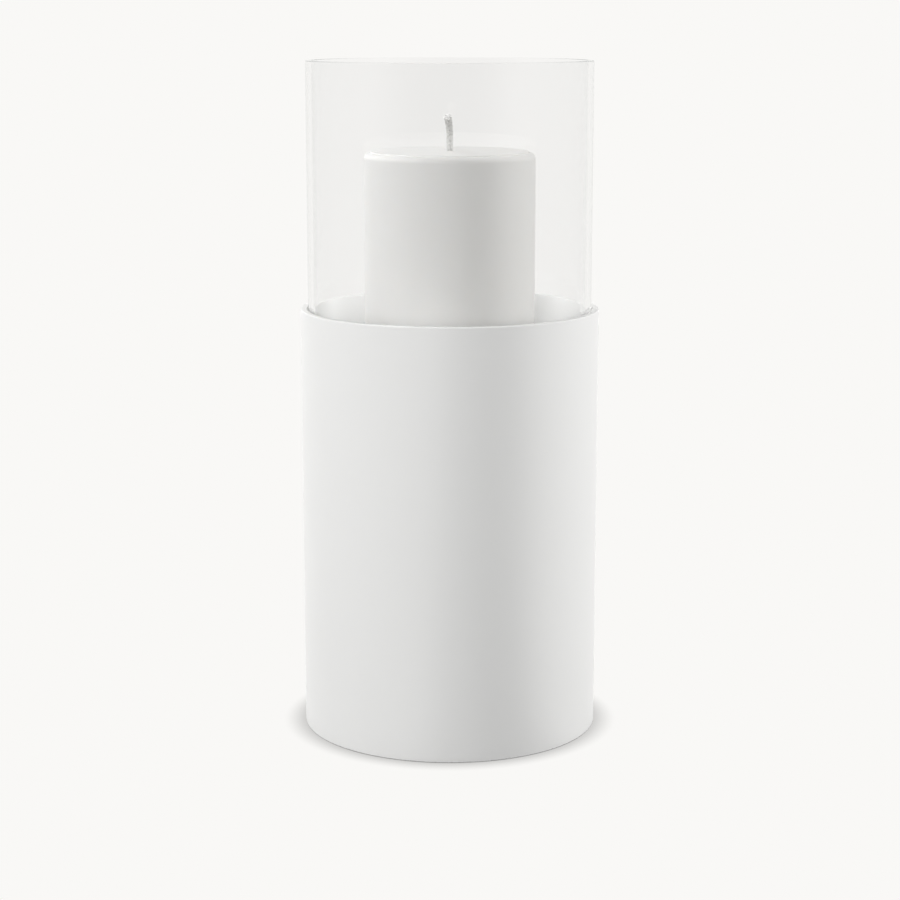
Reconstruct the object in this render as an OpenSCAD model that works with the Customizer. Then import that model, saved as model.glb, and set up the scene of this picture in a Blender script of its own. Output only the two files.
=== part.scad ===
// Hurricane candle lantern: a steel tube with a ring set into its mouth and a screwed-in
// shelf that carries a loose glass cylinder and, on a lift-out drip plate, a pillar candle.
// Millimetres, +Z up. The origin is on the table, on the lantern's axis.

/* [Body tube and rim ring] */
// Outside diameter of the tube
body_d = 140; // [138:1:170]
// Height of the tube
body_h = 200.4; // [170:0.1:240]
// Thickness of the sheet of the tube, base and shelf
sheet_t = 1.2; // [0.8:0.1:1.3]
// Width of the flat rim, the tube's edge and the rim ring together
rim_w = 3; // [2.6:0.1:4]
// Height of the rim ring
rim_h = 28; // [20:1:36]
// Rounding of the rim's edges
rim_round = 0.4; // [0.2:0.1:0.6]

/* [Base and feet] */
// Height of the tube's lower edge above the table
foot_stand = 0.5; // [0.4:0.1:4]
// How far the base plate sits up inside the tube
base_recess = 2; // [1:0.5:6]
// Height of the base plate's turned-up flange
base_flange = 12; // [8:1:20]
// Outside bend radius of that flange
base_bend = 3; // [2:0.5:4]
// Height of the raised middle of the base plate
base_rise = 3; // [1:0.5:5]
// Width of the flat outer ring that the feet are stuck to
base_ring = 25; // [22:1:30]
// Diameter of the vent and drain hole
vent_d = 8; // [5:1:12]
// Diameter of a foot
foot_d = 14; // [10:1:16]
// Rounding of a foot's lower edge
foot_round = 1; // [0.4:0.1:1.4]

/* [Shelf] */
// Depth of the shelf below the rim
shelf_drop = 77.4; // [60:0.1:95]
// Height of the shelf's turned-down flange
shelf_flange = 11; // [7:1:14]
// Outside bend radius of that flange
shelf_bend = 1.8; // [1.6:0.1:2.4]
// Gap between the shelf and the tube
shelf_gap = 0.4; // [0.2:0.1:0.6]
// Depth of the well that the drip plate stands in
well_h = 0.8; // [0.6:0.1:1]
// Diameter of a drain hole in the shelf
drain_d = 5; // [3:0.5:6]

/* [Brackets and screws] */
// Width of a bracket
bracket_w = 18; // [16:1:26]
// Length of a bracket's welded leg
bracket_leg = 18; // [14:1:30]
// Thickness of a bracket
bracket_t = 1.5; // [1.2:0.1:2]
// Outside bend radius of a bracket
bracket_bend = 2.5; // [2.2:0.1:4]
// Clearance round a bracket in the flange's notch
notch_gap = 1; // [0.5:0.5:2]
// Thread diameter of the shelf screws
screw_d = 3; // [2.5:0.5:3.5]
// Length of the shelf screws under the head
screw_l = 8; // [7:1:12]
// Head diameter of the shelf screws
head_d = 5.6; // [5:0.1:7]
// Head height of the shelf screws
head_h = 2.4; // [2:0.1:3]
// Floor left clear on each side of a screw's head
head_room = 0.6; // [0.3:0.1:1]
// Width across flats of the weld nuts
nut_af = 5.5; // [5:0.5:6]
// Height of the weld nuts
nut_h = 2.4; // [2:0.1:3]

/* [Glass] */
// Height of the glass cylinder
glass_h = 190; // [176:1:240]
// Wall of the glass cylinder
glass_wall = 2.8; // [2:0.1:3.2]
// Gap round the glass, in the rim and in the seat ring's lip
glass_gap = 0.4; // [0.3:0.1:0.8]
// Rounding of the fire-polished edges
glass_round = 0.4; // [0.3:0.1:0.9]

/* [Seat ring] */
// Thickness of the silicone under the glass
ring_t = 2; // [1:0.5:4]
// Height of the lip that stands between the glass and the tube
ring_lip = 8; // [5:1:14]
// How far the ring reaches in past the glass
ring_lap = 2; // [1:0.5:2.5]

/* [Drip plate] */
// Thickness of the drip plate
plate_t = 1.2; // [1:0.1:1.4]
// Height of the plate
plate_h = 9; // [7:0.5:14]
// Outside bend radius of the plate
plate_bend = 2; // [1.6:0.1:3]
// Inside radius of the rolled rim
curl_r = 0.3; // [0.2:0.1:0.5]
// Gap between the candle and the ring pressed round it, and between the plate and the well
candle_gap = 0.6; // [0.3:0.1:1]
// Width of the pressed ring, as a share of the plate's reach past the candle
bead_share = 0.4; // [0.3:0.01:0.5]
// Radius at the foot of the pressed ring, in sheet thicknesses
bead_fold = 1.06; // [1.04:0.02:2]

/* [Candle] */
// Diameter of the candle
candle_d = 80; // [70:1:81]
// Height of the candle
candle_h = 150; // [100:1:180]
// Radius of the shoulder
shoulder_r = 3.1; // [2:0.1:8]
// Rounding of the lower edge
foot_edge_r = 1; // [0.5:0.5:3]
// How far the flat top face stands up inside the shoulder
top_step = 0.5; // [0.3:0.1:2]
// Rounding of that face's edge
top_round = 0.2; // [0.1:0.1:0.2]

/* [Wick] */
// Thickness of the wick
wick_d = 3.2; // [2:0.1:4]
// Straight length of the wick above the candle
wick_stub = 6.2; // [4:0.1:12]
// How high the wax climbs the wick
wick_climb = 0.4; // [0.3:0.1:2]
// Radius of the bend in the wick
wick_bend_r = 24; // [12:1:40]
// How far the wick's tip bends over, in degrees
wick_bend = 24; // [10:1:50]
// How much the braid's cut end spreads, on the radius
wick_fray = 0.3; // [0:0.1:0.8]
// Direction in which the wick leans, in degrees from +X
wick_lean = 236; // [0:1:360]
// Diameter of the wick clip
clip_d = 20; // [14:1:30]
// Thickness of the wick clip
clip_t = 0.4; // [0.3:0.1:0.6]
// Height of the wick clip's neck
clip_h = 5; // [3:0.5:8]

/* [Hidden] */
$fn = 96;

past = 1;          // how far a cutter runs past what it cuts
arc_step = 6;      // degrees between the points of an arc
ease_steps = 16;   // steps along a pressed slope
wick_sides = 16;   // flats round the swept wick
wick_rings = 10;   // steps along its bend
bracket_count = 3;
bracket_turn = 90; // the first bracket is at the back
foot_count = 4;
foot_turn = 45;
thread_gap = 0.05; // screw shank to nut bore
hole_gap = 0.25;   // screw shank to its hole, on the radius
well_clear = 0.1;  // well to bracket
cast_gap = 0.02;   // wax to wick
clip_gap = 0.2;    // wax to wick clip
clip_bend = 1;     // inside bend radius of the clip's neck
curl_end = -60;    // where the plate's rolled rim ends, in degrees
ramp = 2;          // run of the slopes pressed into the base and the shelf

// The tube, from the outside in
body_r = body_d / 2;
bore_r = body_r - sheet_t;
mouth_r = body_r - rim_w;
tube_z = foot_stand;
rim_z = tube_z + body_h;

// The base plate and the feet under it
base_z = tube_z + base_recess;
boss_r = bore_r - base_ring - ramp;
foot_circle = bore_r - base_ring / 2 - base_bend / 2;

// The glass and its ring
glass_r = mouth_r - glass_gap;
glass_in = glass_r - glass_wall;
shelf_z = rim_z - shelf_drop;
glass_z = shelf_z + ring_t;
ring_out = bore_r - shelf_gap;
lip_in = glass_r + glass_gap;
ring_in = glass_in - ring_lap;

// From the glass's ring inwards: the shelf's screws and brackets, the well and the plate
arm_z = shelf_z - sheet_t;
shelf_r = bore_r - shelf_gap;
screw_circle = ring_in - head_room - head_d / 2;
well_edge = screw_circle - head_d / 2 - head_room;
bracket_in = well_edge + well_clear;
screw_r = screw_d / 2 - thread_gap;
hole_r = screw_r + hole_gap;
well_r = well_edge - ramp;
plate_r = well_r - candle_gap;
plate_z = shelf_z - well_h;
curl_z = plate_z + plate_h - curl_r - plate_t;

// The ring pressed round the candle: its height comes from its width and its fold
candle_r = candle_d / 2;
bead_in = candle_r + candle_gap;
bead_w = bead_share * (plate_r - candle_r);
bead_h = pow(bead_w / PI, 2) / (2 * bead_fold * plate_t);

// The candle and its wick
candle_z = plate_z + plate_t;
candle_top = candle_z + candle_h;
face_r = candle_r - shoulder_r;
wick_r = wick_d / 2;
bore_wick = wick_r + cast_gap;
bend_z = candle_top + wick_stub;

// Points along an arc about c, from angle a to angle b
function arc(c, r, a, b) =
    let (n = ceil(abs(b - a) / arc_step))
    [for (i = [0:n]) let (t = a + (b - a) * i / n) c + r * [cos(t), sin(t)]];

// Points along a smooth S from point a to point b, level at both ends
function ease(a, b) =
    [for (i = [0:ease_steps]) let (t = i / ease_steps)
        [a[0] + (b[0] - a[0]) * t, a[1] + (b[1] - a[1]) * (1 - cos(180 * t)) / 2]];

// Points along a smooth bump of width w and height h that starts at point a
function bump(a, w, h) =
    [for (i = [0:2 * ease_steps]) let (t = i / (2 * ease_steps)) a + [w * t, h * (1 - cos(360 * t)) / 2]];

// The outline of a sheet of thickness t that follows a path, on the path's left side
function left(a, b) = let (d = (b - a) / norm(b - a)) [-d[1], d[0]];
function corner(a, b, c) = let (m = left(a, b), n = left(b, c)) (m + n) / (1 + m * n);
function sheet(p, t) =
    let (last = len(p) - 1)
    concat(p, [for (i = [last:-1:0])
        p[i] + t * (i == 0 ? left(p[0], p[1])
                  : i == last ? left(p[last - 1], p[last])
                  : corner(p[i - 1], p[i], p[i + 1]))]);

module pressed(path, t) {
    rotate_extrude() polygon(sheet(path, t));
}

// Copies round the axis, n of them, the first at angle a
module around(n, a) {
    for (i = [0:n - 1]) rotate(a + i * 360 / n) children();
}

module body_tube() {
    edge = arc([body_r - rim_round, rim_z - rim_round], rim_round, 0, 90);
    color("white") rotate_extrude() polygon(concat([[bore_r, tube_z], [body_r, tube_z]], edge, [[bore_r, rim_z]]));
}

// A turned ring, pushed into the mouth once the shelf is in: it makes the rim wide and
// flat and guides the glass
module rim_ring() {
    r = rim_round;
    low = rim_z - rim_h;
    color("white") rotate_extrude() polygon(concat(
        [[bore_r, low], [bore_r, rim_z]],
        arc([mouth_r + r, rim_z - r], r, 90, 180), arc([mouth_r + r, low + r], r, 180, 270)));
}

module base_plate() {
    boss = ease([boss_r, base_z + base_rise], [boss_r + ramp, base_z]);
    bend = arc([bore_r - base_bend, base_z + base_bend], base_bend, -90, 0);
    color("whitesmoke")
        pressed(concat([[vent_d / 2, base_z + base_rise]], boss, bend, [[bore_r, base_z + base_flange]]), sheet_t);
}

module foot(i) {
    r = foot_d / 2;
    edge = arc([r - foot_round, foot_round], foot_round, -90, 0);
    color("silver") rotate(foot_turn + i * 360 / foot_count) translate([foot_circle, 0])
        rotate_extrude() polygon(concat([[0, 0]], edge, [[r, base_z], [0, base_z]]));
}

// The pressed shelf: a well for the drip plate, a flat ring for the glass and a flange
// turned down, notched over each bracket
module shelf() {
    well = ease([well_r, plate_z], [well_edge, shelf_z]);
    bend = arc([shelf_r - shelf_bend, shelf_z - shelf_bend], shelf_bend, 90, 0);
    notch_w = bracket_w + 2 * notch_gap;
    color("white") difference() {
        pressed(concat([[0, plate_z]], well, bend, [[shelf_r, shelf_z - shelf_flange]]), -sheet_t);
        around(bracket_count, bracket_turn) {
            translate([screw_circle, 0, arm_z - past]) cylinder(r = hole_r, h = sheet_t + 2 * past);
            translate([ring_in, -notch_w / 2, shelf_z - shelf_flange - past])
                cube([shelf_r, notch_w, shelf_flange + past - sheet_t]);
        }
        around(bracket_count, bracket_turn + 180 / bracket_count)
            translate([screw_circle, 0, arm_z - past]) cylinder(d = drain_d, h = sheet_t + 2 * past);
    }
}

// An angle bracket, curved to the tube that it is welded to, with a round-ended arm
module bracket(i) {
    bend = arc([bore_r - bracket_bend, arm_z - bracket_bend], bracket_bend, 90, 0);
    color("gainsboro") rotate(bracket_turn + i * 360 / bracket_count) difference() {
        intersection() {
            pressed(concat([[bracket_in, arm_z]], bend, [[bore_r, arm_z - bracket_leg]]), -bracket_t);
            translate([bracket_in + bracket_w / 2, 0]) linear_extrude(rim_z) {
                circle(d = bracket_w);
                translate([0, -bracket_w / 2]) square([body_r, bracket_w]);
            }
        }
        translate([screw_circle, 0, arm_z - bracket_t - past]) cylinder(r = hole_r, h = bracket_t + 2 * past);
    }
}

// Pan-head screws with a cross recess
module shelf_screws() {
    slot_w = 0.9;
    slot_l = 3.2;
    slot_deep = 1.3;
    dome_r = 1;
    dome = arc([head_d / 2 - dome_r, head_h - dome_r], dome_r, 0, 90);
    color("silver") around(bracket_count, bracket_turn) translate([screw_circle, 0, shelf_z]) difference() {
        union() {
            rotate_extrude() polygon(concat([[0, 0], [head_d / 2, 0]], dome, [[0, head_h]]));
            translate([0, 0, -screw_l]) cylinder(r = screw_r, h = screw_l);
        }
        for (a = [0, 90]) rotate(a) translate([-slot_l / 2, -slot_w / 2, head_h - slot_deep])
            cube([slot_l, slot_w, slot_deep + past]);
    }
}

module weld_nuts() {
    color("darkgray") around(bracket_count, bracket_turn)
        translate([screw_circle, 0, arm_z - bracket_t - nut_h]) difference() {
            rotate(30) cylinder(d = nut_af / cos(30), h = nut_h, $fn = 6);
            translate([0, 0, -past]) cylinder(d = screw_d, h = nut_h + 2 * past);
        }
}

// An L-section ring: the glass stands on its foot and inside its lip
module glass_seat_ring() {
    tip_r = (ring_out - lip_in) / 2;
    tip = arc([lip_in + tip_r, shelf_z + ring_lip - tip_r], tip_r, 0, 180);
    color("lightgray") rotate_extrude() polygon(concat(
        [[ring_in, shelf_z], [ring_out, shelf_z]], tip, [[lip_in, glass_z], [ring_in, glass_z]]));
}

module glass_cylinder() {
    r = glass_round;
    low = glass_z + r;
    high = glass_z + glass_h - r;
    color("azure", 0.35) rotate_extrude() polygon(concat(
        arc([glass_in + r, low], r, 180, 270), arc([glass_r - r, low], r, 270, 360),
        arc([glass_r - r, high], r, 0, 90), arc([glass_in + r, high], r, 90, 180)));
}

// The lift-out plate: a ring pressed round the candle, a wall and a rolled rim
module drip_plate() {
    bead = bump([bead_in, plate_z], bead_w, bead_h);
    bend = arc([plate_r - plate_bend, plate_z + plate_bend], plate_bend, -90, 0);
    curl = arc([plate_r + curl_r, curl_z], curl_r, 180, curl_end);
    color("white") pressed(concat([[0, plate_z]], bead, bend, curl), plate_t);
}

// The wax: a round shoulder, a raised top face that climbs the wick, and a bore and recess for
// the wick and its clip
module candle_wax() {
    neck_r = bore_wick + clip_t + clip_gap;
    step_z = candle_top - top_step;
    disc_z = candle_z + clip_t + clip_gap;
    neck_z = candle_z + clip_h + clip_gap;
    color("ivory") rotate_extrude() polygon(concat(
        [[clip_d / 2 + clip_gap, candle_z]],
        arc([candle_r - foot_edge_r, candle_z + foot_edge_r], foot_edge_r, -90, 0),
        arc([face_r, step_z - shoulder_r], shoulder_r, 0, 90),
        arc([face_r - top_round, candle_top - top_round], top_round, 0, 90),
        arc([bore_wick + wick_climb, candle_top + wick_climb], wick_climb, 270, 180),
        [[bore_wick, neck_z], [neck_r, neck_z], [neck_r, disc_z], [clip_d / 2 + clip_gap, disc_z]]));
}

// The wick runs the candle's whole height and bends over at its tip, where the braid
// spreads. It is swept through rings, each given as [height, bend angle, radius].
module wick() {
    rings = concat(
        [[candle_z, 0, wick_r], [bend_z, 0, wick_r]],
        [for (i = [1:wick_rings]) let (t = i / wick_rings)
            [bend_z, wick_bend * t, wick_r + wick_fray * pow(t, 3)]]);
    points = [for (ring = rings) for (k = [0:wick_sides - 1])
        let (a = 360 * k / wick_sides, u = ring[1], reach = wick_bend_r - ring[2] * cos(a))
        [wick_bend_r - reach * cos(u), ring[2] * sin(a), ring[0] + reach * sin(u)]];
    last = len(rings) - 1;
    walls = [for (i = [0:last - 1]) for (k = [0:wick_sides - 1])
        let (low = i * wick_sides, high = low + wick_sides, next = (k + 1) % wick_sides)
        [low + k, high + k, high + next, low + next]];
    ends = [[for (k = [0:wick_sides - 1]) k],
            [for (k = [wick_sides - 1:-1:0]) last * wick_sides + k]];
    color("silver") rotate(wick_lean) polyhedron(points, concat(walls, ends));
}

// The stamped clip at the wick's foot: a disc with a neck drawn up round the wick
module wick_clip() {
    neck = arc([bore_wick + clip_bend, candle_z + clip_bend], clip_bend, 270, 180);
    color("lightsteelblue")
        pressed(concat([[clip_d / 2, candle_z]], neck, [[bore_wick, candle_z + clip_h]]), -clip_t);
}

body_tube();
rim_ring();
base_plate();
foot(0);  // foot_1
foot(1);  // foot_2
foot(2);  // foot_3
foot(3);  // foot_4
shelf();
bracket(0);  // bracket_1
bracket(1);  // bracket_2
bracket(2);  // bracket_3
shelf_screws();
weld_nuts();
glass_seat_ring();
glass_cylinder();
drip_plate();
candle_wax();
wick();
wick_clip();
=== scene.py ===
import math
import bpy
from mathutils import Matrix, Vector
from mathutils.bvhtree import BVHTree


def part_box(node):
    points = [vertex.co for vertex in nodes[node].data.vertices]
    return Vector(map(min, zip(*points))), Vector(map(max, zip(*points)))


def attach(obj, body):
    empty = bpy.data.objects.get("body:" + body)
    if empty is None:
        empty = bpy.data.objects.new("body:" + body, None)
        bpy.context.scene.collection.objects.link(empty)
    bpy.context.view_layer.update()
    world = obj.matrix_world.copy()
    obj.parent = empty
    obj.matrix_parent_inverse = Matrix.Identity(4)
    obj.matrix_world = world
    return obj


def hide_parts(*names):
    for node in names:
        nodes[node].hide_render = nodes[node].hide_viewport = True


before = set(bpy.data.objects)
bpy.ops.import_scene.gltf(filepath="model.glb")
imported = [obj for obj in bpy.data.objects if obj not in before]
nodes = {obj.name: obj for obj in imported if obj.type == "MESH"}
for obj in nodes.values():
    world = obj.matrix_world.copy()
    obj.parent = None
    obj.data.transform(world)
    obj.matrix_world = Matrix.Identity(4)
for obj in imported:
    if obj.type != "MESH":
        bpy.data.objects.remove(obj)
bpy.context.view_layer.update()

mm = 0.001

tubeLow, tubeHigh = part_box("body_tube")
glassLow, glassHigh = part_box("glass_cylinder")
waxLow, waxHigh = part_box("candle_wax")
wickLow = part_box("wick")[0]
print("frame loaded, lantern is %.1f mm high" % (glassHigh[2] / mm))

# The camera, settled by the outlines of tube, glass and candle
cameraValues = {
    "distance": 1.01503, "heightOverTubeFoot": 0.33505, "pitch": 11.327, "sideStep": 0.00011,
    "lens": 86.735, "sensorWidth": 36.0,
}

# Where things show in the photo, in a square frame of this many pixels
frameSide = 900
imagePoints = {
    "tubeLeft": (300.9, None), "tubeRight": (598.5, None), "tubeBottom": (None, 762.2),
    "glassTop": (None, 57.8), "glassLeft": (305.8, None), "glassRight": (594.2, None),
    "rimFront": (449.8, 327.7), "glassTopFront": (449.8, 63.7),
    "candleBack": (None, 146.8), "candleLeft": (364.8, None), "candleRight": (535.7, None),
    "wickTip": (447.4, 114.0), "wickMiddle": (449.0, 132.0),
}


def makeCamera():
    data = bpy.data.cameras.new("photoCamera")
    data.lens = cameraValues["lens"]
    data.sensor_width = cameraValues["sensorWidth"]
    data.sensor_fit = "AUTO"
    thing = bpy.data.objects.new("photoCamera", data)
    bpy.context.scene.collection.objects.link(thing)
    height = tubeLow[2] + cameraValues["heightOverTubeFoot"]
    thing.location = (cameraValues["sideStep"], -cameraValues["distance"], height)
    thing.rotation_euler = (math.radians(90 - cameraValues["pitch"]), 0, 0)
    bpy.context.scene.camera = thing
    bpy.context.view_layer.update()
    return thing


camera = makeCamera()
print("camera placed")


def put(tree, kind, inputs=None, **settings):
    node = tree.nodes.new(kind)
    for name, value in settings.items():
        setattr(node, name, value)
    for name, value in (inputs or {}).items():
        if isinstance(value, bpy.types.NodeSocket):
            tree.links.new(value, node.inputs[name])
        else:
            node.inputs[name].default_value = value
    return node


def calc(tree, operation, first, second=0.0):
    return put(tree, "ShaderNodeMath", {0: first, 1: second}, operation=operation).outputs[0]


def mixTones(tree, share, first, second, **settings):
    mix = put(tree, "ShaderNodeMix", {0: share, 6: first, 7: second}, data_type="RGBA", **settings)
    return mix.outputs[2]


# Soft lamps round the lantern. side is in degrees to the right of the camera, up above the
# horizon, and level the light that falls on a surface facing the lamp.
lampReach = {"distance": 2.0, "aimHeight": 0.15}
lampValues = {
    "front": {"side": -10, "up": 20, "level": 0.45, "size": (0.7, 1.3)},
    "frontLow": {"side": -10, "up": 8, "level": 0.20, "size": (0.7, 0.75)},
    "left": {"side": -100, "up": 20, "level": 0.10, "size": (0.7, 1.3)},
    "leftHigh": {"side": -90, "up": 45, "level": 0.29, "size": (0.9, 1.0)},
    "leftLow": {"side": -110, "up": 8, "level": 0.11, "size": (0.7, 0.75)},
    "backHigh": {"side": -130, "up": 45, "level": 0.35, "size": (0.9, 1.0)},
    "backLow": {"side": -150, "up": 8, "level": 0.16, "size": (0.7, 0.75)},
    "backLeft": {"side": -150, "up": 20, "level": 0.24, "size": (0.7, 1.3)},
    "right": {"side": 109, "up": 20, "level": 1.0, "size": (0.7, 1.3)},
}


def makeLamp(name, values):
    side, up = math.radians(values["side"]), math.radians(values["up"])
    towards = Vector((math.sin(side) * math.cos(up), -math.cos(side) * math.cos(up), math.sin(up)))
    data = bpy.data.lights.new("lamp." + name, "AREA")
    data.shape = "RECTANGLE"
    data.size, data.size_y = values["size"]
    data.energy = values["level"] * (math.pi * lampReach["distance"]) ** 2
    thing = bpy.data.objects.new("lamp." + name, data)
    bpy.context.scene.collection.objects.link(thing)
    thing.location = towards * lampReach["distance"] + Vector((0, 0, lampReach["aimHeight"]))
    thing.rotation_euler = towards.to_track_quat("Z", "Y").to_euler()
    thing.visible_camera = False
    thing.visible_glossy = False
    thing.visible_transmission = False


for name, values in lampValues.items():
    makeLamp(name, values)

# Paper is what the camera, reflections and the glass see, and it lights nothing else. Reflections
# find the room in front dimmer, set so to match the photo: sharp ones a wide part of it,
# blurred ones the dark middle, beside the camera.
stageValues = {
    "paper": (0.947, 0.939, 0.922, 1), "floorHalf": 6, "floorBounce": (0.25, 0.25, 0.245, 1),
    "contactShadowReach": 11 * mm, "contactShadowDepth": 0.75,
    "sharpRoom": {"tone": (0.48, 0.48, 0.472, 1), "side": -8, "width": 62},
    "blurredRoom": {"tone": (0.02, 0.02, 0.02, 1), "side": 20, "width": 42},
}


def newGroup(name, takes, gives):
    group = bpy.data.node_groups.new(name, "ShaderNodeTree")
    for label, kind in takes:
        group.interface.new_socket(name=label, in_out="INPUT", socket_type="NodeSocket" + kind)
    for label, kind in gives:
        group.interface.new_socket(name=label, in_out="OUTPUT", socket_type="NodeSocket" + kind)
    return group, group.nodes.new("NodeGroupInput").outputs, group.nodes.new("NodeGroupOutput").inputs


def makeRoomPaper():
    group, given, result = newGroup(
        "roomPaper", [("Direction", "Vector"), ("Sharp", "Float"), ("Blurred", "Float")],
        [("Color", "Color")])
    flat = put(group, "ShaderNodeVectorMath", {0: given["Direction"], 1: (1, 1, 0)}, operation="MULTIPLY")
    unit = put(group, "ShaderNodeVectorMath", {0: flat.outputs[0]}, operation="NORMALIZE")
    tone = stageValues["paper"]
    for room, mask in (("sharpRoom", "Sharp"), ("blurredRoom", "Blurred")):
        values = stageValues[room]
        side = math.radians(values["side"])
        middle = (math.sin(side), -math.cos(side), 0)
        facing = put(group, "ShaderNodeVectorMath", {0: unit.outputs[0], 1: middle}, operation="DOT_PRODUCT")
        edge = math.cos(math.radians(values["width"]))
        zone = put(group, "ShaderNodeMapRange", {"Value": facing.outputs["Value"], "From Min": edge},
                   interpolation_type="SMOOTHSTEP")
        dim = calc(group, "MULTIPLY", zone.outputs["Result"], given[mask])
        tone = mixTones(group, dim, tone, values["tone"])
    group.links.new(tone, result["Color"])
    return group


roomPaper = makeRoomPaper()


def seenPaper(tree, place):
    # the paper's colour towards a place, and a mask of the rays that see it
    path = put(tree, "ShaderNodeLightPath")
    mirrored = calc(tree, "GREATER_THAN", path.outputs["Glossy Depth"], 0.5)
    sharp = calc(tree, "MULTIPLY", mirrored, path.outputs["Is Singular Ray"])
    blurred = calc(tree, "SUBTRACT", mirrored, sharp)
    paper = put(tree, "ShaderNodeGroup", node_tree=roomPaper)
    for label, value in (("Direction", place), ("Sharp", sharp), ("Blurred", blurred)):
        tree.links.new(value, paper.inputs[label])
    seen = calc(tree, "MAXIMUM", path.outputs["Is Camera Ray"], path.outputs["Is Glossy Ray"])
    return paper.outputs["Color"], calc(tree, "MAXIMUM", seen, path.outputs["Is Transmission Ray"])


def makeWorld():
    world = bpy.data.worlds.new("studio")
    bpy.context.scene.world = world
    world.use_nodes = True
    tree = world.node_tree
    tree.nodes.clear()
    paper, mask = seenPaper(tree, put(tree, "ShaderNodeTexCoord").outputs["Generated"])
    seen = put(tree, "ShaderNodeBackground", {"Color": paper, "Strength": mask})
    put(tree, "ShaderNodeOutputWorld", {"Surface": seen.outputs[0]})


def makeFloor():
    mesh = bpy.data.meshes.new("floor")
    half = stageValues["floorHalf"]
    corners = [(-half, -half, 0), (half, -half, 0), (half, half, 0), (-half, half, 0)]
    mesh.from_pydata(corners, [], [(0, 1, 2, 3)])
    floor = bpy.data.objects.new("floor", mesh)
    bpy.context.scene.collection.objects.link(floor)
    material = bpy.data.materials.new("floorPaper")
    material.use_nodes = True
    tree = material.node_tree
    tree.nodes.clear()
    paper, mask = seenPaper(tree, put(tree, "ShaderNodeTexCoord").outputs["Object"])
    # the paper's seen tone is darkened near the lantern by an ambient occlusion node: a painted contact
    # shadow
    near = put(tree, "ShaderNodeAmbientOcclusion", {"Distance": stageValues["contactShadowReach"]}, samples=16)
    tone = mixTones(tree, stageValues["contactShadowDepth"], paper, near.outputs["Color"], blend_type="MULTIPLY")
    seen = put(tree, "ShaderNodeEmission", {"Color": tone})
    bounce = put(tree, "ShaderNodeBsdfDiffuse", {"Color": stageValues["floorBounce"]})
    both = put(tree, "ShaderNodeMixShader", {0: mask, 1: bounce.outputs[0], 2: seen.outputs[0]})
    put(tree, "ShaderNodeOutputMaterial", {"Surface": both.outputs[0]})
    mesh.materials.append(material)


makeWorld()
makeFloor()
print("stage and lamps made")


# Shader groups that several finishes share. fineness is how many small patches go across a
# broad one, small how much they count, and pitReach a pit's radius in cells.
mottleValues = {"detail": 3.0, "fineness": 9.0, "small": 0.3}
grainValues = {"detail": 2.0, "cells": 0.5, "pitReach": 0.16}


def makeMottle():
    group, given, result = newGroup(
        "softMottle",
        [("Tone", "Color"), ("Shift", "Color"), ("Patch Size", "Float"), ("Amount", "Float"),
         ("Roughness", "Float"), ("Roughness Spread", "Float")],
        [("Color", "Color"), ("Roughness", "Float")])
    where = put(group, "ShaderNodeTexCoord").outputs["Object"]
    scale = calc(group, "DIVIDE", 1.0, given["Patch Size"])
    fine = calc(group, "MULTIPLY", scale, mottleValues["fineness"])
    broad = put(group, "ShaderNodeTexNoise", {"Vector": where, "Scale": scale,
                                              "Detail": mottleValues["detail"]})
    small = put(group, "ShaderNodeTexNoise", {"Vector": where, "Scale": fine})
    blend = calc(group, "ADD", calc(group, "MULTIPLY", broad.outputs[0], 1 - mottleValues["small"]),
                 calc(group, "MULTIPLY", small.outputs[0], mottleValues["small"]))
    tone = mixTones(group, calc(group, "MULTIPLY", blend, given["Amount"]), given["Tone"], given["Shift"])
    swing = calc(group, "MULTIPLY", calc(group, "SUBTRACT", blend, 0.5), given["Roughness Spread"])
    group.links.new(tone, result["Color"])
    group.links.new(calc(group, "ADD", given["Roughness"], swing), result["Roughness"])
    return group


def makeGrain():
    group, given, result = newGroup(
        "fineGrain", [("Grain Size", "Float"), ("Stretch", "Vector"), ("Pits", "Float")],
        [("Height", "Float")])
    where = put(group, "ShaderNodeTexCoord").outputs["Object"]
    drawn = put(group, "ShaderNodeVectorMath", {0: where, 1: given["Stretch"]}, operation="MULTIPLY")
    scale = calc(group, "DIVIDE", 1.0, given["Grain Size"])
    waves = put(group, "ShaderNodeTexNoise", {"Vector": drawn.outputs[0], "Scale": scale,
                                              "Detail": grainValues["detail"]})
    coarse = calc(group, "MULTIPLY", scale, grainValues["cells"])
    cells = put(group, "ShaderNodeTexVoronoi", {"Vector": drawn.outputs[0], "Scale": coarse})
    inPit = calc(group, "LESS_THAN", cells.outputs["Distance"], grainValues["pitReach"])
    pit = calc(group, "MULTIPLY", inPit, given["Pits"])
    group.links.new(calc(group, "SUBTRACT", waves.outputs[0], pit), result["Height"])
    return group


softMottle = makeMottle()
fineGrain = makeGrain()


def newFinish(name, **constants):
    material = bpy.data.materials.new(name)
    material.use_nodes = True
    tree = material.node_tree
    tree.nodes.clear()
    out = put(tree, "ShaderNodeOutputMaterial")
    shader = put(tree, "ShaderNodeBsdfPrincipled")
    for label, value in constants.items():
        shader.inputs[label.replace("_", " ")].default_value = value
    return material, tree, shader, out


def addGroup(tree, group, values):
    # a group's node, with the inputs that the values name set to them
    node = put(tree, "ShaderNodeGroup", node_tree=group)
    for socket in node.inputs:
        if socket.name in values:
            socket.default_value = values[socket.name]
    return node


def mottledFinish(name, values, **constants):
    material, tree, shader, out = newFinish(name, **constants)
    mottle = addGroup(tree, softMottle, values)
    grain = addGroup(tree, fineGrain, values)
    bump = put(tree, "ShaderNodeBump", {"Height": grain.outputs["Height"], "Strength": values["Bump"],
                                        "Distance": values["Bump Depth"]})
    tree.links.new(mottle.outputs["Color"], shader.inputs["Base Color"])
    tree.links.new(mottle.outputs["Roughness"], shader.inputs["Roughness"])
    tree.links.new(bump.outputs["Normal"], shader.inputs["Normal"])
    tree.links.new(shader.outputs[0], out.inputs["Surface"])
    return material


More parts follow.
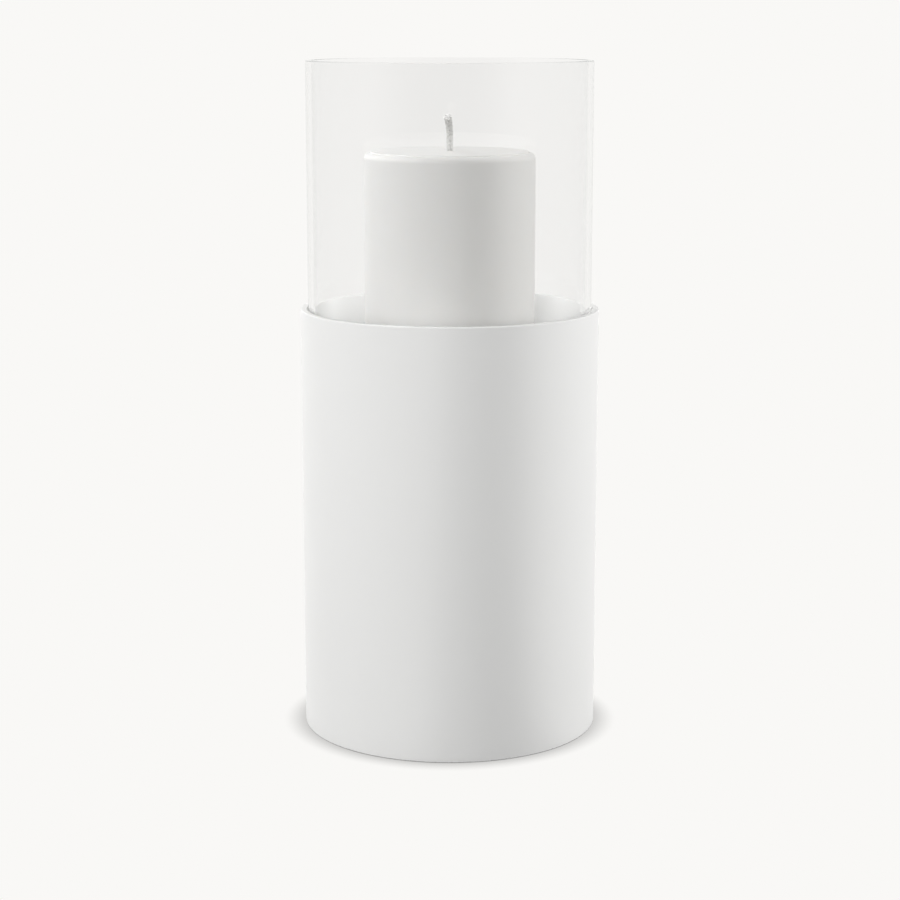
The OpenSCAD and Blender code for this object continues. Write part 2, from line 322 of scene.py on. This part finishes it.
def rampAlong(tree, axis, start, end, **settings):
    # a share that runs from 0 to 1 between two places on one of the piece's own axes
    place = put(tree, "ShaderNodeSeparateXYZ", {0: put(tree, "ShaderNodeTexCoord").outputs["Object"]})
    ramp = put(tree, "ShaderNodeMapRange", {"Value": place.outputs[axis], "From Min": start,
                                            "From Max": end}, **settings)
    return ramp.outputs["Result"]


def touchUp(material, axis, start, end, touch):
    # the tone multiplied by a touch, which comes in from start to end; every touch here is painted light or
    # shade
    tree = material.node_tree
    base = tree.nodes["Principled BSDF"].inputs["Base Color"]
    share = rampAlong(tree, axis, start, end, interpolation_type="SMOOTHSTEP")
    tree.links.new(mixTones(tree, share, base.links[0].from_socket, touch, blend_type="MULTIPLY"), base)
    return share


def dress(material, *names):
    for name in names:
        slots = nodes[name].data.materials
        slots.clear()
        slots.append(material)


# White powder coat
coatValues = {
    "Tone": (0.925, 0.925, 0.917, 1), "Shift": (0.905, 0.904, 0.893, 1), "Patch Size": 45 * mm,
    "Amount": 0.8, "Roughness": 0.38, "Roughness Spread": 0.1, "Grain Size": 1.1 * mm,
    "Stretch": (1, 1, 1), "Pits": 0.0, "Bump": 0.10, "Bump Depth": 0.2 * mm,
}
dress(mottledFinish("whitePowderCoat", coatValues, Specular_IOR_Level=1.0),
      "body_tube", "base_plate", "bracket_1", "bracket_2", "bracket_3")

# The same coat in a greyer tone, a guess, darkened as painted shade so that their upward faces don't burn
# out in the light from above, on the shelf and the plate under the candle
shadedPlateValues = dict(coatValues, Tone=(0.78, 0.78, 0.773, 1), Shift=(0.75, 0.75, 0.74, 1))
dress(mottledFinish("shadedPlateCoat", shadedPlateValues, Specular_IOR_Level=0.5), "shelf", "drip_plate")

# The whitest coat, on the rim ring. Its tone changes by place only to match the photo, where the
# lamps alone don't, with painted light and shade: painted shade from its middle to the left,
# painted light, lighter again, at the far left, and a slightly darker painted shade on its top face.
rimValues = dict(
    coatValues, Tone=(0.97, 0.97, 0.965, 1), Shift=(0.955, 0.955, 0.948, 1),
    leftPart={"touch": (0.79, 0.79, 0.786, 1), "from": -15 * mm, "to": -45 * mm},
    farLeft={"touch": (1.22, 1.22, 1.22, 1), "from": -54 * mm, "to": -66 * mm},
    topFace={"touch": (0.96, 0.96, 0.957, 1), "from": tubeHigh[2] - 0.4 * mm,
             "to": tubeHigh[2] - 0.2 * mm},
)


def makeRimFinish():
    material = mottledFinish("rimPowderCoat", rimValues, Specular_IOR_Level=1.0)
    for axis, name in (("X", "leftPart"), ("X", "farLeft"), ("Z", "topFace")):
        change = rimValues[name]
        touchUp(material, axis, change["from"], change["to"], change["touch"])
    return material


dress(makeRimFinish(), "rim_ring")

# Bright zinc plate, drawn along the screws
zincValues = {
    "Tone": (0.60, 0.61, 0.63, 1), "Shift": (0.50, 0.51, 0.52, 1), "Patch Size": 4 * mm, "Amount": 0.6,
    "Roughness": 0.32, "Roughness Spread": 0.18, "Grain Size": 0.4 * mm, "Stretch": (1, 1, 0.15),
    "Pits": 0.0, "Bump": 0.15, "Bump Depth": 0.05 * mm,
}
dress(mottledFinish("zincPlate", zincValues, Metallic=1.0), "shelf_screws", "weld_nuts", "wick_clip")

# Milky silicone
siliconeValues = {
    "Tone": (0.74, 0.74, 0.73, 1), "Shift": (0.64, 0.64, 0.625, 1), "Patch Size": 6 * mm, "Amount": 0.5,
    "Roughness": 0.46, "Roughness Spread": 0.2, "Grain Size": 0.6 * mm, "Stretch": (1, 1, 1), "Pits": 0.1,
    "Bump": 0.12, "Bump Depth": 0.1 * mm,
}
dress(mottledFinish("milkySilicone", siliconeValues, Subsurface_Weight=0.2, Subsurface_Scale=1 * mm,
                    Subsurface_Radius=(1.0, 0.95, 0.9)),
      "glass_seat_ring", "foot_1", "foot_2", "foot_3", "foot_4")

# White paraffin wax. Its tone changes by place only to match the photo, with painted light and
# shade: painted shade darker towards its right side, painted light on its shoulder, down to the depth
# of that name, and painted shade darker on the raised top face, as high as the step, which has no gloss.
waxValues = {
    "Tone": (0.882, 0.878, 0.863, 1), "Shift": (0.85, 0.845, 0.826, 1), "Patch Size": 12 * mm,
    "Amount": 0.7, "Roughness": 0.52, "Roughness Spread": 0.16, "Grain Size": 1.4 * mm,
    "Stretch": (1, 1, 1), "Pits": 0.15, "Bump": 0.10, "Bump Depth": 0.2 * mm,
    "rightSide": (0.857, 0.855, 0.848, 1), "shoulderTone": (1.08, 1.08, 1.08, 1),
    "topFace": (0.84, 0.84, 0.837, 1), "step": 0.45 * mm, "shoulder": 3.6 * mm, "gloss": 0.25,
}


def makeWaxFinish():
    material = mottledFinish("whiteWax", waxValues, Subsurface_Weight=0.15, Subsurface_Scale=3 * mm,
                             Subsurface_Radius=(1.0, 0.9, 0.8))
    tree = material.node_tree
    shader = tree.nodes["Principled BSDF"]
    top, shoulder, step = waxHigh[2], waxValues["shoulder"], waxValues["step"]
    touchUp(material, "X", waxLow[0], waxHigh[0], waxValues["rightSide"])
    touchUp(material, "Z", top - shoulder, top - shoulder / 2, waxValues["shoulderTone"])
    flat = touchUp(material, "Z", top - step, top - step / 2, waxValues["topFace"])
    gloss = calc(tree, "MULTIPLY", calc(tree, "SUBTRACT", 1.0, flat), waxValues["gloss"])
    tree.links.new(gloss, shader.inputs["Specular IOR Level"])
    return material


dress(makeWaxFinish(), "candle_wax")
print("coat, zinc, silicone and wax put on")


# Geometry Nodes: a tree's sizes are its named inputs
def newTree(name, takes):
    tree = bpy.data.node_groups.new(name, "GeometryNodeTree")
    tree.interface.new_socket(name="Geometry", in_out="OUTPUT", socket_type="NodeSocketGeometry")
    for label, kind in takes:
        tree.interface.new_socket(name=label, in_out="INPUT", socket_type="NodeSocket" + kind)
    return tree, tree.nodes.new("NodeGroupInput").outputs, tree.nodes.new("NodeGroupOutput").inputs


def grow(name, tree, values, finish):
    thing = bpy.data.objects.new(name + ".maker", bpy.data.meshes.new(name + ".maker"))
    bpy.context.scene.collection.objects.link(thing)
    maker = thing.modifiers.new("maker", "NODES")
    maker.node_group = tree
    for item in tree.interface.items_tree:
        if item.in_out == "INPUT":
            maker[item.identifier] = finish if item.name == "Finish" else values[item.name]
    even = thing.modifiers.new("even", "WEIGHTED_NORMAL")
    even.mode = "FACE_AREA"
    even.weight = 100
    bpy.context.view_layer.update()
    mesh = bpy.data.meshes.new_from_object(thing.evaluated_get(bpy.context.evaluated_depsgraph_get()))
    mesh.name = name
    bpy.data.objects.remove(thing)
    piece = bpy.data.objects.new(name, mesh)
    bpy.context.scene.collection.objects.link(piece)
    print("%s grown, %d faces" % (name, len(mesh.polygons)))
    return piece


# The glass: a rounded strip carried round a circle
glassValues = {
    "Outer Radius": glassHigh[0], "Wall": 2.8 * mm, "Foot": glassLow[2],
    "Height": glassHigh[2] - glassLow[2], "Edge Rounding": 0.4 * mm, "Edge Steps": 5, "Around": 256,
    "Tone": (0.975, 0.975, 0.974, 1), "Shift": (0.969, 0.969, 0.97, 1), "Patch Size": 60 * mm,
    "Amount": 1.0, "ior": 1.5, "manyBounces": 5.5, "piped": (0.40, 0.43, 0.42, 1),
    "sunk": (0.78, 0.79, 0.78, 1), "sunkFade": 1 * mm,
}


def makeGlassFinish():
    material, tree, shader, out = newFinish("clearGlass", Roughness=0.0, IOR=glassValues["ior"],
                                            Transmission_Weight=1.0)
    mottle = addGroup(tree, softMottle, glassValues)
    tree.links.new(mottle.outputs["Color"], shader.inputs["Base Color"])
    path = put(tree, "ShaderNodeLightPath")
    # a ray that has bounced this often inside the wall would soon be cut off and show dark, so there
    # the glass glows with a set tone, painted light that matches the photo, whiter where the wall
    # stands in the white tube
    sunk = rampAlong(tree, "Z", tubeHigh[2], tubeHigh[2] - glassValues["sunkFade"])
    tone = mixTones(tree, sunk, glassValues["piped"], glassValues["sunk"])
    pale = put(tree, "ShaderNodeEmission", {"Color": tone})
    deep = calc(tree, "GREATER_THAN", path.outputs["Ray Depth"], glassValues["manyBounces"])
    seen = put(tree, "ShaderNodeMixShader", {0: deep, 1: shader.outputs[0], 2: pale.outputs[0]})
    # light for the other pieces goes straight on
    through = put(tree, "ShaderNodeBsdfTransparent")
    lights = calc(tree, "MAXIMUM", path.outputs["Is Shadow Ray"], path.outputs["Is Diffuse Ray"])
    both = put(tree, "ShaderNodeMixShader", {0: lights, 1: seen.outputs[0], 2: through.outputs[0]})
    tree.links.new(both.outputs[0], out.inputs["Surface"])
    return material


def makeGlassTree():
    tree, given, result = newTree("roundedSleeve", [
        ("Outer Radius", "Float"), ("Wall", "Float"), ("Foot", "Float"), ("Height", "Float"),
        ("Edge Rounding", "Float"), ("Edge Steps", "Int"), ("Around", "Int"), ("Finish", "Material")])
    strip = put(tree, "GeometryNodeCurvePrimitiveQuadrilateral",
                {"Width": given["Wall"], "Height": given["Height"]})
    rounded = put(tree, "GeometryNodeFilletCurve", {
        "Curve": strip.outputs[0], "Radius": given["Edge Rounding"],
        "Count": given["Edge Steps"]}, mode="POLY")
    middle = calc(tree, "SUBTRACT", given["Outer Radius"], calc(tree, "MULTIPLY", given["Wall"], 0.5))
    ring = put(tree, "GeometryNodeCurvePrimitiveCircle", {"Resolution": given["Around"], "Radius": middle})
    wall = put(tree, "GeometryNodeCurveToMesh", {"Curve": ring.outputs[0],
                                                 "Profile Curve": rounded.outputs[0]})
    lift = calc(tree, "ADD", given["Foot"], calc(tree, "MULTIPLY", given["Height"], 0.5))
    upTo = put(tree, "ShaderNodeCombineXYZ", {"Z": lift})
    raised = put(tree, "GeometryNodeTransform", {"Geometry": wall.outputs[0],
                                                 "Translation": upTo.outputs[0]})
    smooth = put(tree, "GeometryNodeSetShadeSmooth", {"Geometry": raised.outputs[0]})
    real = put(tree, "GeometryNodeRealizeInstances", {"Geometry": smooth.outputs[0]})
    done = put(tree, "GeometryNodeSetMaterial", {"Geometry": real.outputs[0], "Material": given["Finish"]})
    tree.links.new(done.outputs[0], result["Geometry"])
    return tree


glass = grow("glassCylinder", makeGlassTree(), glassValues, makeGlassFinish())
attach(glass, "glass")
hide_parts("glass_cylinder")

# The wick: strands that cross over and under each other round a core, along a path that stands
# straight and then bends over. along runs from 0 at the braid's foot to 1 at its cut end, and
# below the braid, inside the wax, the wick is a plain root.
wickValues = {
    "Strands": 8, "Strand Thickness": 1.04 * mm, "Strand Sides": 10, "Braid Radius": 1.05 * mm,
    "Weave Depth": 0.05 * mm, "Pitch": 9.0 * mm, "Foot": waxHigh[2] - 4.0 * mm, "Straight": 10.2 * mm,
    "Bend Radius": 24 * mm, "Bend": math.radians(24), "Lean": math.radians(236), "Fray": 0.3 * mm,
    "Steps": 90, "Core Share": 1.2, "Root Foot": wickLow[2], "Root Radius": 1.55 * mm, "Sides": 16,
}

# Waxed cotton: darker in patches and towards the braid's end, pale where it is cut
cottonValues = {
    "Tone": (0.70, 0.695, 0.68, 1), "Shift": (0.60, 0.595, 0.58, 1), "Patch Size": 3 * mm, "Amount": 0.5,
    "Roughness": 0.72, "Roughness Spread": 0.3, "Grain Size": 0.22 * mm, "Stretch": (1, 1, 0.2),
    "Bump": 0.25, "Bump Depth": 0.1 * mm,
    "upper": {"tone": (0.55, 0.545, 0.53, 1), "from": 0.35, "to": 0.8},
    "cut": {"tone": (0.90, 0.895, 0.88, 1), "from": 0.925, "to": 0.94},
}


def makeCottonFinish():
    material = mottledFinish("waxedCotton", cottonValues, Sheen_Weight=0.2, Sheen_Roughness=0.4)
    tree = material.node_tree
    base = tree.nodes["Principled BSDF"].inputs["Base Color"]
    along = put(tree, "ShaderNodeAttribute", attribute_name="along").outputs["Fac"]
    for name in ("upper", "cut"):
        change = cottonValues[name]
        share = put(tree, "ShaderNodeMapRange", {"Value": along, "From Min": change["from"],
                                                 "From Max": change["to"]}).outputs["Result"]
        tree.links.new(mixTones(tree, share, base.links[0].from_socket, change["tone"]), base)
    return material


def makeWickTree():
    tree, given, result = newTree("braidedWick", [
        ("Strands", "Int"), ("Strand Thickness", "Float"), ("Strand Sides", "Int"),
        ("Braid Radius", "Float"), ("Weave Depth", "Float"), ("Pitch", "Float"), ("Foot", "Float"),
        ("Straight", "Float"), ("Bend Radius", "Float"), ("Bend", "Float"), ("Lean", "Float"),
        ("Fray", "Float"), ("Steps", "Int"), ("Core Share", "Float"), ("Root Foot", "Float"),
        ("Root Radius", "Float"), ("Sides", "Int"), ("Finish", "Material")])

    def times(first, second):
        return calc(tree, "MULTIPLY", first, second)

    def carried(path, sides, radius):
        # a round rod along a path
        rod = put(tree, "GeometryNodeCurvePrimitiveCircle", {"Resolution": sides, "Radius": radius})
        return put(tree, "GeometryNodeCurveToMesh", {
            "Curve": path.outputs[0], "Profile Curve": rod.outputs[0], "Fill Caps": True})

    def marked(path):
        # the path, with its shares of the way stored for the finish
        return put(tree, "GeometryNodeStoreNamedAttribute", {
            "Geometry": path, "Name": "along", "Value": share}, data_type="FLOAT", domain="POINT")

    def bentPath(turn, reach):
        # the place at an angle round the path and a distance from its middle
        way = times(share, length)
        over = calc(tree, "MAXIMUM", calc(tree, "SUBTRACT", way, given["Straight"]), 0.0)
        bent = calc(tree, "DIVIDE", over, given["Bend Radius"])
        across = times(reach, calc(tree, "COSINE", turn))
        arm = calc(tree, "SUBTRACT", given["Bend Radius"], across)
        x = calc(tree, "SUBTRACT", given["Bend Radius"], times(arm, calc(tree, "COSINE", bent)))
        y = times(reach, calc(tree, "SINE", turn))
        stood = calc(tree, "ADD", given["Foot"], calc(tree, "MINIMUM", way, given["Straight"]))
        z = calc(tree, "ADD", stood, times(arm, calc(tree, "SINE", bent)))
        spot = put(tree, "ShaderNodeCombineXYZ", {"X": x, "Y": y, "Z": z})
        leaned = put(tree, "ShaderNodeVectorRotate", {"Vector": spot.outputs[0], "Angle": given["Lean"]},
                     rotation_type="Z_AXIS")
        return leaned.outputs[0]

    line = put(tree, "GeometryNodeCurvePrimitiveLine")
    fineLine = put(tree, "GeometryNodeResampleCurve", {"Curve": line.outputs[0], "Count": given["Steps"]})
    share = put(tree, "GeometryNodeSplineParameter").outputs["Factor"]
    length = calc(tree, "ADD", given["Straight"], times(given["Bend Radius"], given["Bend"]))
    copies = put(tree, "GeometryNodeDuplicateElements", {"Geometry": fineLine.outputs[0],
                                                         "Amount": given["Strands"]}, domain="SPLINE")
    number = copies.outputs["Duplicate Index"]
    odd = calc(tree, "MODULO", number, 2.0)
    handed = calc(tree, "SUBTRACT", 1.0, times(odd, 2.0))
    pair = calc(tree, "FLOOR", times(number, 0.5))
    pairs = times(given["Strands"], 0.5)
    wound = times(calc(tree, "DIVIDE", times(share, length), given["Pitch"]), math.tau)
    turn = calc(tree, "ADD", times(wound, handed), times(calc(tree, "DIVIDE", pair, pairs), math.tau))
    weave = times(times(given["Weave Depth"], handed), calc(tree, "COSINE", times(wound, pairs)))
    flare = times(given["Fray"], calc(tree, "POWER", share, 3.0))
    reach = calc(tree, "ADD", given["Braid Radius"], calc(tree, "ADD", weave, flare))
    laid = put(tree, "GeometryNodeSetPosition", {"Geometry": marked(copies.outputs["Geometry"]).outputs[0],
                                                 "Position": bentPath(turn, reach)})
    strands = carried(laid, given["Strand Sides"], times(given["Strand Thickness"], 0.5))

    middle = put(tree, "GeometryNodeSetPosition", {"Geometry": marked(fineLine.outputs[0]).outputs[0],
                                                   "Position": bentPath(0.0, 0.0)})
    core = carried(middle, given["Sides"], times(given["Braid Radius"], given["Core Share"]))

    low = put(tree, "ShaderNodeCombineXYZ", {"Z": given["Root Foot"]})
    high = put(tree, "ShaderNodeCombineXYZ", {"Z": given["Foot"]})
    hidden = put(tree, "GeometryNodeCurvePrimitiveLine", {"Start": low.outputs[0], "End": high.outputs[0]})
    root = carried(hidden, given["Sides"], given["Root Radius"])
    whole = put(tree, "GeometryNodeJoinGeometry")
    for part in (root, core, strands):
        tree.links.new(part.outputs[0], whole.inputs[0])
    smooth = put(tree, "GeometryNodeSetShadeSmooth", {"Geometry": whole.outputs[0]})
    real = put(tree, "GeometryNodeRealizeInstances", {"Geometry": smooth.outputs[0]})
    done = put(tree, "GeometryNodeSetMaterial", {"Geometry": real.outputs[0], "Material": given["Finish"]})
    tree.links.new(done.outputs[0], result["Geometry"])
    return tree


wick = grow("waxedWick", makeWickTree(), wickValues, makeCottonFinish())
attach(wick, "candle")
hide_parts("wick")


# What shows where, and the rim at an image point's column. A corner counts as shown if nothing lies
# more than hideGap in front of it, tipReach is a wick tip's reach in pixels below its top, rimSpan
# is the rim's width, and the search is along a ray that misses, for the surface nearest to it.
measureValues = {
    "hideGap": 0.3 * mm, "tipReach": 3, "rimSpan": 3.0 * mm,
    "searchStart": 0.5, "searchStep": 1 * mm, "searchSteps": 1000,
}


def cameraSpot(point):
    local = camera.matrix_world.inverted() @ Vector(point)
    reach = frameSide * camera.data.lens / camera.data.sensor_width / -local.z
    return (frameSide / 2 + local.x * reach - camera.data.shift_x * frameSide,
            frameSide / 2 - local.y * reach + camera.data.shift_y * frameSide)


def rayThrough(x, y):
    aim = Vector((x - frameSide / 2 + camera.data.shift_x * frameSide,
                  frameSide / 2 - y + camera.data.shift_y * frameSide,
                  -frameSide * camera.data.lens / camera.data.sensor_width))
    return camera.matrix_world.translation, (camera.matrix_world.to_quaternion() @ aim).normalized()


def finishedMesh(thing):
    mesh = thing.evaluated_get(bpy.context.evaluated_depsgraph_get()).to_mesh()
    corners = [thing.matrix_world @ vertex.co for vertex in mesh.vertices]
    return corners, [list(face.vertices) for face in mesh.polygons]


def surfaceOf(things):
    corners, faces = [], []
    for thing in things:
        more, moreFaces = finishedMesh(thing)
        faces += [[index + len(corners) for index in face] for face in moreFaces]
        corners += more
    return BVHTree.FromPolygons(corners, faces)


def placeOn(surface, x, y):
    eye, way = rayThrough(x, y)
    spot = surface.ray_cast(eye, way)[0]
    if spot is None:
        start, step = measureValues["searchStart"], measureValues["searchStep"]
        tries = [eye + way * (start + step * count) for count in range(measureValues["searchSteps"])]
        spot = min((surface.find_nearest(place) for place in tries), key=lambda found: found[3])[0]
    return spot


def shownSpots(thing, blockers):
    eye = camera.matrix_world.translation
    spots = []
    for corner in finishedMesh(thing)[0]:
        way = corner - eye
        hit = blockers.ray_cast(eye, way.normalized(), way.length - measureValues["hideGap"])[0]
        if hit is None:
            spots.append(cameraSpot(corner))
    return spots


def measurePoints():
    solid = [nodes[name] for name in ("body_tube", "rim_ring", "candle_wax")] + [wick]
    blockers = surfaceOf(solid)
    things = {"tube": nodes["body_tube"], "glass": glass, "candle": nodes["candle_wax"], "wick": wick}
    shown = {name: shownSpots(thing, blockers) for name, thing in things.items()}
    rimMiddle = (tubeHigh[0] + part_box("rim_ring")[1][0] - measureValues["rimSpan"]) / 2
    rim = placeOn(blockers, imagePoints["rimFront"][0], cameraSpot((0, -rimMiddle, tubeHigh[2]))[1])
    print("points measured")


measurePoints()

bpy.context.scene.view_settings.view_transform = "Standard"
